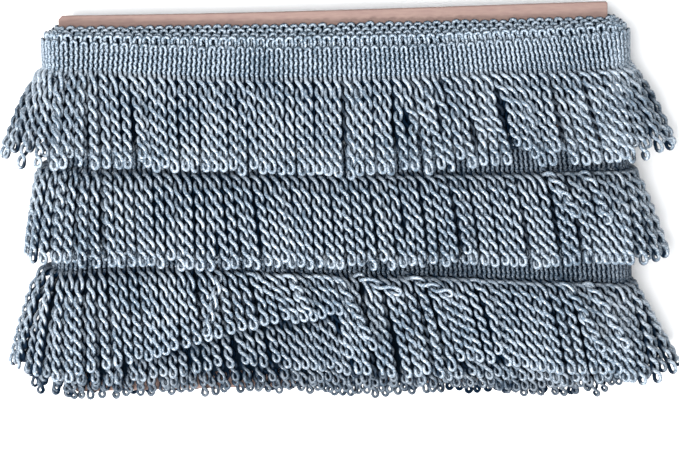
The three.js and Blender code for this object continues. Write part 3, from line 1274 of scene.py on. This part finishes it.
    def _cord(
        self, laid: Laid, index: int, detail: Detail, start: float, loose: Pair, fading: tuple[float, ...]
    ) -> tuple[Array, ...]:
        """Lays one bullion: down with one ply, round the loop and up with the other.

        Args:
            laid: the layer's cords.
            index: the cord.
            detail: how finely it is made.
            start: the share of its length where it starts.
            loose: the turns and the angle, in half turns, by which its twist strays.
            fading: its painted shade at the root, and the shares of its length between which that shade
                lightens to its tip's.

        Returns:
            What its guide line needs at each point.
        """
        line, angle = laid["points"][index], laid["angle"][index]
        turns = max(self.least_turns, round(laid["length"][index] / self.twist_step))
        count = int(turns * detail.steps * (1 - start)) + 1
        run = np.linspace(start, 1, count)
        levels = np.linspace(0, 1, len(line))
        down = self._eased(np.column_stack([np.interp(run, levels, line[:, i]) for i in range(3)]))
        way = np.gradient(down, axis=0)
        way /= np.linalg.norm(way, axis=1, keepdims=True)
        out = np.array([math.cos(angle), 0.0, math.sin(angle)])
        outs = out - (way @ out)[:, None] * way
        outs /= np.linalg.norm(outs, axis=1, keepdims=True)
        sides = np.cross(outs, way)
        pace = run - self.tightening * run * (1 - run)
        phase = loose[1] * smooth(run, 0, self.phase_end)
        turn = math.pi - math.pi * ((turns + loose[0] - loose[1]) * pace + phase)
        turn = turn - self.twist_rest * np.sin(2 * turn)
        turn = turn + (math.pi / 2 - angle) * smooth(run, self.facing_from, 1)
        leg = self.winding.leg_gap / 2
        reach = leg + (self.twist_reach - leg) * smooth(run, 0, self.leg_end)
        part = np.pi * np.linspace(0, 1, detail.loop_steps + 1)[1:-1]
        length, swell = detail.ring
        ring = down[-1] + way[-1] * (length * np.sin(part))[:, None]
        round_reach = (self.twist_reach + swell * np.sin(part)) * np.cos(part)
        one = np.ones((len(part), 1))
        painted_shade = fading[0] + (detail.tip_painted_shade - fading[0]) * smooth(run, *fading[1:])
        return (
            looped(down, ring, down),
            looped(sides, sides[-1] * one, sides),
            looped(outs, outs[-1] * one, outs),
            looped(turn, turn[-1] + 0 * part, turn + math.pi),
            looped(reach, round_reach, reach),
            np.ones(2 * count + len(part)),
            looped(painted_shade, painted_shade[-1] + 0 * part, painted_shade),
        )

    def _eased(self, line: Array) -> Array:
        """Rounds the corners of a line a little and keeps its two ends.

        Args:
            line: its points.

        Returns:
            The rounded line.
        """
        eased = line.copy()
        for _ in range(2):
            eased[1:-1] = 0.5 * eased[1:-1] + 0.25 * (eased[:-2] + eased[2:])
        return eased

    def lining(self) -> list[Array]:
        """Lays out a closed near-black sheet of painted shadow that stands for the shaded inner turns behind
        the cords.

        Returns:
            The closed lines round the card that it is made from.
        """
        laid = self.field(2)
        inward = np.stack([np.cos(laid["angle"]), 0 * laid["x"], np.sin(laid["angle"])], axis=1)
        root = laid["points"][:, 0]
        root[:, 1] = self.shape.outer.height(laid["x"], laid["angle"], self.winding.half_card)
        top, deep, near = self.lining_depths
        rings = [root - inward * top, root]
        for level in (*self.lining_levels, self.shape.lined - 1, self.shape.lined):
            rings.insert(0, laid["points"][:, level] - inward * deep)
            rings.append(laid["points"][:, level] - inward * near)
        return rings


@dataclass
class Heading:
    """The heading of one tier: a cord looped up and down under rows of binding."""

    shape: TierShape
    winding: Winding
    yarn: Yarn = Yarn(radius=1.06, painted_flank_shade=(0.0, 0.5))
    thread: Yarn = Yarn(radius=0.18, painted_flank_shade=(-1.0, -0.5))
    stitch_rows: int = 7
    arch_steps: int = 7
    pinch: float = 0.28
    waver: float = 0.3
    height_spread: float = 0.3
    waver_spread: float = 0.5
    short_leg: float = 7.5
    inner_half: float = 1.65
    inner_arch: float = 1.0
    inner_girth: float = 0.9
    rhythms: tuple[tuple[int, float], ...] = ((0, 0.0), (2, 0.0), (0, 0.55), (0, 0.95), (0, 0.45))
    tail: float = 3.0
    tail_girth: float = 0.5
    slant_from: float = 0.1
    # Painted shade: the binding threads are painted darker so that the gaps they cross stay dark.
    painted_thread_shade: float = 0.35
    thread_lift: float = 0.62
    thread_waves: Pair = (0.25, 0.28)
    thread_end: float = 0.35
    # Painted light: the outermost turn is painted darker, so that the inner turns in its shade look as light
    # as it.
    painted_outer_shade: float = 0.88
    ground_depth: float = 1.1
    ground_thickness: float = 0.4
    ground_margin: float = 0.5
    ground_steps: int = 240

    @property
    def leg_height(self) -> float:
        """The height of a loop's legs."""
        return self.winding.heading_height - self.winding.leg_gap / 2 - self.yarn.radius

    def guides(self, layer: int, place: Place, steps: int) -> Guides:
        """Makes the guides of one turn's cord on one side of the card.

        Args:
            layer: the turn, counted from the outermost.
            place: the side of the card.
            steps: the steps along each leg for one row of binding.

        Returns:
            The guides, one for each loop.
        """
        w, rows, height = self.winding, self.stitch_rows, self.leg_height
        more, shift = self.rhythms[layer]
        count = round(w.loop / w.cord_pitch) + more
        s = (np.arange(count) + shift) * w.loop / count
        rng = np.random.default_rng(self.shape.seed * 1000 + layer)
        tall = self.short_leg if layer else height
        half, rise = (self.inner_half, self.inner_arch) if layer else (w.leg_gap / 2, w.leg_gap / 2)
        made = Guides()
        offsets = rng.normal(0, self.height_spread, count)
        beats = rng.normal(0, self.waver_spread, count)
        leg = np.linspace(height - tall, height, int(rows * steps * tall / height) + 1)
        arch = np.linspace(0, math.pi, self.arch_steps)[1:-1]
        up = looped(leg, height + rise * np.sin(arch), leg)
        along = looped(0 * leg - half, -half * np.cos(arch), 0 * leg + half)
        beat = np.pi * rows * looped(leg, 0 * arch + height, leg) / height
        girth = 1 - self.pinch + self.pinch * np.abs(np.sin(beat))
        girth[len(leg):-len(leg)] = 1 - self.pinch / 2
        lift = 0 * up
        if layer:
            girth *= self.inner_girth
        else:
            lift[-1] -= half
            up[-1] -= self.tail
            girth[-1] = self.tail_girth
        for middle, angle, offset, late in zip(s, w.places(s)[1], offsets, beats):
            if (angle > FRONT_FROM) == (place is Place.FRONT):
                sway = self.waver * np.sin(beat + late)
                self._lay(made, layer, middle + along + sway, up + offset, girth, lift)
        return made

    def threads(self, place: Place) -> Guides:
        """Makes the guides of the binding threads, which cross the outermost turn's cords.

        Args:
            place: the side of the card.

        Returns:
            The guides, one for each row on that side.
        """
        w = self.winding
        made = Guides()
        span = w.loop / 2 + w.end_arc / 2
        first = w.half_card + w.end_arc * self.thread_end
        if place is Place.BACK:
            first, span = first + span, w.loop - span
        s = first + np.linspace(0, span, int(span / w.leg_gap * 2) + 1)
        for row in range(1, self.stitch_rows):
            up = self.leg_height * row / self.stitch_rows + 0 * s
            wave = np.cos(2 * np.pi * s / w.leg_gap + np.pi * (row % 2))
            rise, lift = (part * wave for part in self.thread_waves)
            lift = self.yarn.radius * self.thread_lift + lift
            self._lay(made, 0, s, up + rise, 1 + 0 * s, lift, self.painted_thread_shade)
        return made

    def _lay(
        self, made: Guides, layer: int, s: Array, up: Array, girth: Array, lift: Array, painted_shade: float = 1.0
    ) -> None:
        """Adds one cord that goes along a turn.

        Args:
            made: the guides that it is added to.
            layer: the turn, counted from the outermost.
            s: its distances round the card.
            up: its heights over the turn's lower edge.
            girth: its thickness as a share of the usual.
            lift: how far it lies off the turn.
            painted_shade: how far its colour is painted darker for shade, as a share of full light.
        """
        w = self.winding
        x, angle = w.places(s)
        s = s + self.shape.slant(x, angle) * (up / w.heading_height - self.slant_from)
        x, angle = w.places(s)
        outer = self.shape.outer.height(x, angle, w.half_card)
        inner = self.shape.inner.height(x, angle, w.half_card)
        low = outer + (inner - outer) * self.shape.places[layer]
        if not layer:
            low = low - self.shape.dip(x, angle) * (1 - up / w.heading_height)
        radius = w.heading_radius(layer, np.mod(s, w.loop)) + lift
        out = np.stack([np.cos(angle), 0 * x, np.sin(angle)], axis=1)
        points = np.stack([x + self.shape.slide, low + up, 0 * x], axis=1) + out * radius[:, None]
        side = np.stack([np.sin(angle), 0 * x, -np.cos(angle)], axis=1)
        # Painted shade: a lower tier's heading is darkened for the shade of the tier above, and the outermost
        # turn against the inner turns.
        painted_shade = painted_shade * self.shape.painted_heading_shade * (1.0 if layer else self.painted_outer_shade)
        made.add(points, side, out, 0 * x, 0 * x, girth, painted_shade + 0 * x)

    def ground(self, layer: int) -> list[Array]:
        """Lays out the close ground of thread behind a turn's cords, which takes the near-black finish of
        painted shadow.

        Args:
            layer: the turn, counted from the outermost.

        Returns:
            The closed lines round the card that it is made from.
        """
        s = np.linspace(0, self.winding.loop, self.ground_steps + 1)[:-1]
        top = self.leg_height + self.ground_margin
        low = top - self.short_leg if layer else self.ground_margin
        far = -self.ground_thickness
        guides = Guides()
        for up, lift in ((low, 0.0), (top, 0.0), (top, far), (low, far)):
            self._lay(guides, layer, s, up + 0 * s, 1 + 0 * s, lift - self.ground_depth + 0 * s)
        return [cord[0] for cord in guides.cords]


@dataclass
class Tier:
    """One tier of the winding, with its heading and its fringe."""

    shape: TierShape
    winding: Winding
    spinner: Spinner
    cord_finish: Material
    heading_finish: Material
    painted_shadow_finish: Material
    inner_headings: bool = False

    def build(self) -> None:
        """Builds the tier's pieces and gives them to the frame."""
        name, details, turns = self.shape.name, self.shape.details, self.winding.turns
        fringe = Fringe(self.shape, self.winding, Yarn(radius=1.1, painted_flank_shade=self.shape.painted_flank_shade))
        heading = Heading(self.shape, self.winding)
        shown = range(1, turns if self.inner_headings else 1)
        for place in Place:
            side, front = place.value, place is Place.FRONT
            outer = details[0] if front else BACK_DETAIL
            for layer, detail in enumerate((outer, *details[1:])):
                title = f"bullion_{side}_under_{layer}" if layer else f"bullion_{side}"
                guides = fringe.guides(layer, place, detail)
                self._make(title, guides, Slot.FRINGE, fringe.yarn, detail.sides, not layer)
            sides, steps = (6, 3) if self.inner_headings and front else (5 if front else 4, 2)
            guides = heading.guides(0, place, steps)
            self._make(f"heading_{side}", guides, Slot.HEADING, heading.yarn, sides, stands=True)
            self._make(f"binding_{side}", heading.threads(place), Slot.HEADING, heading.thread, 3)
            for layer in shown:
                title = f"heading_{side}_turn_{turns - layer}"
                self._make(title, heading.guides(layer, place, 2), Slot.HEADING, heading.yarn, sides)
        # The lining and the grounds take the near-black finish of painted shadow.
        bodies = [("inner_turns_painted_shadow", fringe.lining(), Slot.FRINGE)]
        bodies += [(f"ground_{turns - layer}", heading.ground(layer), Slot.HEADING) for layer in (0, *shown)]
        for title, rings, slot in bodies:
            settle(band(f"{name}_{title}", rings, self.spinner.middle, self.painted_shadow_finish))

    def _make(
        self, title: str, guides: Guides, slot: Slot, yarn: Yarn, sides: int, stands: bool = False
    ) -> None:
        """Spins one piece of cord and gives it to the frame.

        Args:
            title: its name within the tier.
            guides: its cords' guide lines.
            slot: the record's slot that it takes its finish from.
            yarn: the thickness and shading of its plies.
            sides: the sides of a ply's section.
            stands: whether it stands for the tier's CAD node of that slot.
        """
        name = self.shape.name
        finish = self.cord_finish if slot is Slot.FRINGE else self.heading_finish
        piece = self.spinner.spin(f"{name}_{title}", guides, finish, yarn, sides, self.shape.seed)
        settle(piece, (f"{slot.value}_{name}",) if stands else ())


@dataclass
class Card:
    """The board that the trim is wound on."""

    low: Vector
    high: Vector
    corner: float = 0.8
    worn_corner: float = 2.0
    hollow: float = 1.0
    hollow_power: float = 1.3
    edge_steps: int = 12
    bevel: float = 0.35
    sharp: float = 1.2

    def build(self, finish: Material) -> Piece:
        """Makes the card with softened edges, a worn corner and a slightly hollow head edge.

        Args:
            finish: its material.

        Returns:
            The piece.
        """
        mesh = bpy.data.meshes.new("board")
        shape = bmesh.new()
        r, worn, low, high = self.corner * MM, self.worn_corner * MM, self.low, self.high
        outline = [
            (low.x + r, low.y), (high.x - r, low.y), (high.x, low.y + r), (high.x, high.y - r),
            (high.x - r, high.y),
        ]
        for step in range(1, self.edge_steps):
            share = step / self.edge_steps
            dip = self.hollow * MM * math.sin(math.pi * share**self.hollow_power)
            outline.append((high.x + (low.x - high.x) * share, high.y - dip))
        outline += [(low.x + worn, high.y), (low.x, high.y - worn), (low.x, low.y + r)]
        face = shape.faces.new([shape.verts.new((x, y, low.z)) for x, y in outline])
        grown = bmesh.ops.extrude_face_region(shape, geom=[face])
        lifted = [v for v in grown["geom"] if isinstance(v, bmesh.types.BMVert)]
        bmesh.ops.translate(shape, vec=(0, 0, high.z - low.z), verts=lifted)
        sharp = [e for e in shape.edges if e.calc_face_angle(0) > self.sharp]
        bmesh.ops.bevel(shape, geom=sharp, offset=self.bevel * MM, segments=2, affect="EDGES")
        bmesh.ops.recalc_face_normals(shape, faces=shape.faces)
        shape.to_mesh(mesh)
        shape.free()
        mesh.materials.append(finish)
        return link("board", mesh)


@dataclass
class Studio:
    """The floor, the light and the camera, in metres."""

    target: Vector
    distance: float = 1.439
    lens: float = 135.0
    lean: float = 11.0
    roll: float = -1.5
    floor: float = 3.0
    floor_drop: float = 0.0002
    floor_colour: Colour = (0.97, 0.97, 0.97)
    surround: Colour = (0.93, 0.96, 1.0)
    surround_strength: float = 0.54
    lights: tuple[tuple[str, Colour, float, float], ...] = (
        ("key", (-0.3, 0.2, 1.5), 0.8, 22.5),
        ("fill", (0.6, -0.3, 1.5), 1.2, 7.0),
        ("rim", (-0.85, -0.85, 1.1), 0.4, 38.0),
    )

    def build(self) -> None:
        """Builds the floor, the lights and the camera."""
        self._floor()
        self._lights()
        self._camera()

    def _floor(self) -> None:
        """Makes the pale floor."""
        mesh = bpy.data.meshes.new("floor")
        corners = ((-1, -1), (1, -1), (1, 1), (-1, 1))
        where = [(x * self.floor, y * self.floor, -self.floor_drop) for x, y in corners]
        mesh.from_pydata(where, [], [(0, 1, 2, 3)])
        finish, wire, shader = surface("pale_floor")
        wire.feed(shader, {"Base Color": self.floor_colour, "Roughness": 0.9})
        mesh.materials.append(finish)
        link("floor", mesh)

    def _lights(self) -> None:
        """Makes the soft lights and the even surround."""
        world = bpy.data.worlds.new("surround")
        bpy.context.scene.world = world
        world.use_nodes = True
        sky = world.node_tree.nodes["Background"]
        Wiring(world.node_tree).feed(sky, {"Color": self.surround, "Strength": self.surround_strength})
        for name, where, size, power in self.lights:
            data = bpy.data.lights.new(name, "AREA")
            data.shape = "DISK"
            data.size = size
            data.energy = power
            light = link(name, data)
            light.location = where
            light.rotation_mode = "QUATERNION"
            light.rotation_quaternion = (self.target - Vector(where)).to_track_quat("-Z", "Y")

    def _camera(self) -> None:
        """Makes the camera, which looks down on the wound face from the head's side."""
        data = bpy.data.cameras.new("camera")
        data.lens = self.lens
        data.sensor_width = 36.0
        camera = link("camera", data)
        tilt = Matrix.Rotation(math.radians(-self.lean), 4, "X")
        turn = Matrix.Rotation(math.radians(self.roll), 4, "Z")
        back = Matrix.Translation((0, 0, self.distance))
        camera.matrix_world = Matrix.Translation(self.target) @ tilt @ turn @ back
        bpy.context.scene.camera = camera
        bpy.context.scene.view_settings.view_transform = "Standard"


def main() -> None:
    """Builds the dressed part and its studio."""
    logging.basicConfig(level=logging.INFO, format="%(message)s")
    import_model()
    low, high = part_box("card")
    middle = (low + high) / 2
    Studio(target=middle + Vector((0.4, -22.1, 0)) * MM).build()
    filaments = Filaments().build()
    cord, heading, shadow = (finish.build(filaments) for finish in RAYONS)
    board = Card(low, high).build(Board().build())
    settle(board, ("card",))
    spinner = Spinner(PlyTree().build(), middle)
    winding = Winding(half_card=(high.x - low.x) / 2 / MM - CARD_INSET)
    for shape in TIERS:
        Tier(shape, winding, spinner, cord, heading, shadow, inner_headings=shape.name == "top").build()
    bpy.context.view_layer.update()


if __name__ == "__main__":
    main()
